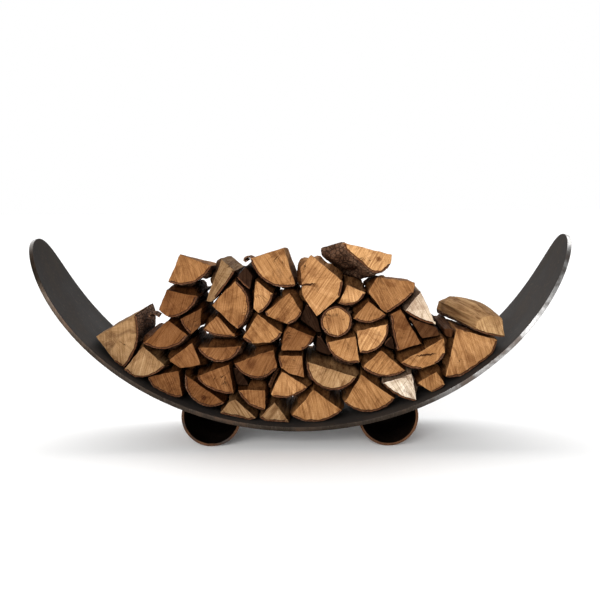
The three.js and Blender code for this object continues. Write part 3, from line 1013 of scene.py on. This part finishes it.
class LogShape:
    """One log's outline, seed and worn ends, and the rings of corners made from them."""

    def __init__(self, node, places, liftable):
        draw = random.Random(node)
        self.seed = draw.uniform(0.0, 40.0)
        self.number = int(node[-2:])
        place = places[node]
        self.length = place.length
        self.points = skin_points(place.outline, self.number in BARK_BELOW)
        add_room(node, self.points, places, liftable)
        self.pith = find_pith(self.points)
        self.tilts = [(draw.uniform(-0.03, 0.03), draw.uniform(-0.025, 0.025)) for _ in range(2)]
        self.lowest = min(p.y for p in place.outline)
        self.taper = TAPER.get(self.number, 0.0)
        self.mesh = LogMesh(place, self.pith)

    def end_depth(self, at, end):
        """How far the sawn end lies inside the plain prism's end."""
        lean = at.x * self.tilts[end][0] + at.y * self.tilts[end][1]
        saw = noise.noise(Vector((at.x / 0.025 + self.seed, 5.0 * end, at.y / 0.025))) * SAW_ROUGH
        return max(-MOST_LEAN, min(MOST_LEAN, lean)) + saw + END_INSET

    def put(self, at, share, rim, light=1.0):
        y = self.end_depth(at, 0) * (1 - share) + (self.length - self.end_depth(at, 1)) * share
        low = self.lowest + (at.y - self.lowest) * (1 - self.taper * share)
        return self.mesh.add(Vector((at.x, low)), y, rim, light)

    def skin_ring(self, share, inset, bark_rim):
        rise = HUMP.get(self.number, 0.0) * math.sin(math.pi * share)
        spots = [p["at"] + p["out"] * (skin_push(p, share * self.length, self.length, self.seed) - inset
                                       + rise * max(0.0, p["out"].y)) for p in self.points]
        rims = [bark_rim if p["bark"] else -1.0 for p in self.points]
        ring = [self.put(at, share, rim, p["open"]) for at, rim, p in zip(spots, rims, self.points)]
        return spots, ring

    def side(self):
        """The rings along the side, bridged."""
        steps = max(8, round(self.length / LENGTH_STEP))
        wear = WEAR / self.length
        kinds = [BARK if p["bark"] else SPLIT for p in self.points]
        rings = [self.skin_ring(wear + (1 - 2 * wear) * j / steps, 0.0, 3.0)[1] for j in range(steps + 1)]
        for a, b in zip(rings, rings[1:]):
            self.mesh.bridge(a, b, kinds)
        return rings

    def end(self, end, side_ring):
        """One sawn end: the worn edge, the bark or pale rim, and the face out to its middle."""
        share = float(end)
        points = self.points
        spots, edge = self.skin_ring(share, WEAR, 2.0)
        inner = []
        for point, at in zip(points, spots):
            wave = 1 + 0.6 * noise.noise(Vector((at.x / 0.02, self.seed, at.y / 0.02)))
            inner.append(at - point["out"] * (BARK_THICK * wave if point["bark"] else PALE_EDGE))
        layers = [side_ring, edge]
        layers.append([self.put(at, share, 1.0 if p["bark"] else 0.0) for at, p in zip(inner, points)])
        layers += [[self.put(at * shrink, share, 0.0) for at in inner] for shrink in FACE_RINGS]
        kinds = [[BARK if p["bark"] else SPLIT for p in points]]
        kinds.append([BARK if p["bark"] else SAWN for p in points])
        kinds += [[SAWN] * len(points)] * len(FACE_RINGS)
        for a, b, kind in zip(layers, layers[1:], kinds):
            self.mesh.bridge(*((a, b) if end else (b, a)), kind)
        self.mesh.fan(layers[-1], self.put(Vector((0, 0)), share, 0.0), end)


def store_log(data, shape):
    """Writes the values that the wood's materials read onto the log's corners."""
    mesh, pith, number = shape.mesh, shape.pith, shape.number
    count = len(mesh.verts)
    # The lightness from the table carries painted shade as well as the wood's own tone.
    light = next((tone for tone, numbers in WOOD_TONE_WITH_SHADE.items() if number in numbers), 0.5)
    knot = KNOTS.get(number, (FAR_OFF, FAR_OFF, 1 * MM))
    crack = CRACKS.get(number, (FAR_OFF, FAR_OFF, 0.0))
    store_vectors(data, "grain", mesh.grain)
    store_vectors(data, "tone", [(light, PALENESS.get(number, 0.0), shape.seed)] * count)
    store_vectors(data, "knot", [(knot[0] - pith.x, knot[2], knot[1] - pith.y)] * count)
    store_vectors(data, "crack", [(crack[0] - pith.x, crack[2], crack[1] - pith.y)] * count)
    store_numbers(data, "rim", mesh.rim)
    store_numbers(data, "open", mesh.open)
    store_numbers(data, "grey", [1.0 if number in GREYER else 0.0] * count)


def make_log(node, body, materials, places, liftable):
    shape = LogShape(node, places, liftable)
    mesh = shape.mesh
    rings = shape.side()
    shape.end(0, rings[0])
    shape.end(1, rings[-1])
    if shape.number in CURLS:
        x, z, size = CURLS[shape.number]
        mesh.curl(Vector((x, z)), size, shape.seed)
    data = bpy.data.meshes.new(f"{node}_visual")
    data.from_pydata(mesh.verts, [], mesh.faces)
    for material in materials:
        data.materials.append(material)
    data.polygons.foreach_set("material_index", mesh.kinds)
    data.polygons.foreach_set("use_smooth", [True] * len(mesh.faces))
    store_log(data, shape)
    data.set_sharp_from_angle(angle=math.radians(50))
    data.validate()
    piece = bpy.data.objects.new(f"{node}_visual", data)
    bpy.context.collection.objects.link(piece)
    place_piece(piece, node, body)


def store_numbers(data, name, values):
    data.attributes.new(name, "FLOAT", "POINT").data.foreach_set("value", values)


def store_vectors(data, name, vectors):
    attribute = data.attributes.new(name, "FLOAT_VECTOR", "POINT")
    attribute.data.foreach_set("vector", np.array(vectors, dtype=np.float32).ravel())


# ---------------------------------------------------------------- the rack


make_camera()
make_light()
make_floor()

make_plate(plate_material(), cut_edge_material())
rust = rust_material("rusted_pipe", (0.068, 0.031, 0.015), False)
# The feet's insides are painted near black: rust in painted shade.
shaded_rust_inside = rust_material("rusted_pipe_inside_shade", (0.006, 0.004, 0.003), True)
for number, side in enumerate(("left", "right")):
    make_foot(side, rust, shaded_rust_inside, 5.0 + 9.0 * number)
bead = weld_material()
for number, node in enumerate(n for n in frame["nodes"] if n.endswith("_weld")):
    make_weld(node, bead, number + 1)

wood = [sawn_material(), split_material(), bark_material()]
body_of = {node: body for body, nodes in frame["record"]["behaviour"]["bodies"].items() for node in nodes}
logs = sorted(node for node in frame["nodes"] if node.startswith("log_"))
liftable = {node for node in logs if body_of[node] != "root"}
places = {node: LogPlace(node) for node in logs}
for node in logs:
    make_log(node, body_of[node], wood, places, liftable)

bpy.context.view_layer.update()
